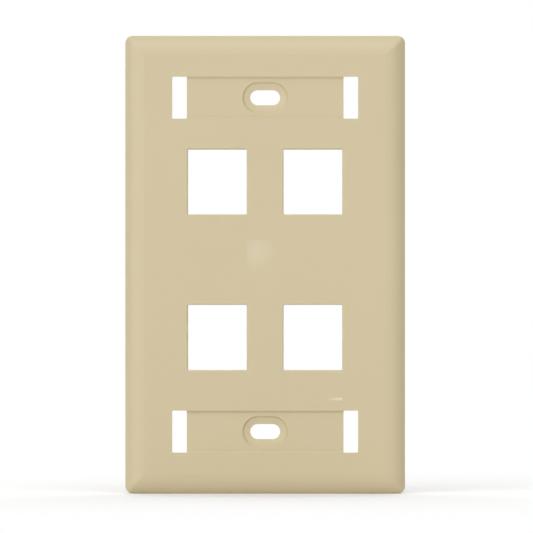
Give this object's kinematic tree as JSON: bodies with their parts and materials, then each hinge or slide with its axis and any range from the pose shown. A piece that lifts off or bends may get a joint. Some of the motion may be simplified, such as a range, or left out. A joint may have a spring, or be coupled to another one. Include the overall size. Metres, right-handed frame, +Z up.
{
  "type": "keystone faceplate",
  "caption": "Upright single-gang wall faceplate with snap-in jack ports, recessed label panels and slotted screw seats, moulded in one piece.",
  "frame": {"origin": "on the wall's surface, the plane of the plate's rear rim, at the middle of the plate and midway between its two screw slots", "axes": "+X across the plate to the right as seen from the front, +Y into the wall, +Z up the plate; the front face looks along -Y"},
  "size_m": [0.0698, 0.01, 0.1142],
  "materials": {
    "ivory_plastic": "satin"
  },
  "bodies": {
    "root": {"faceplate": "ivory_plastic"}
  },
  "joints": []
}
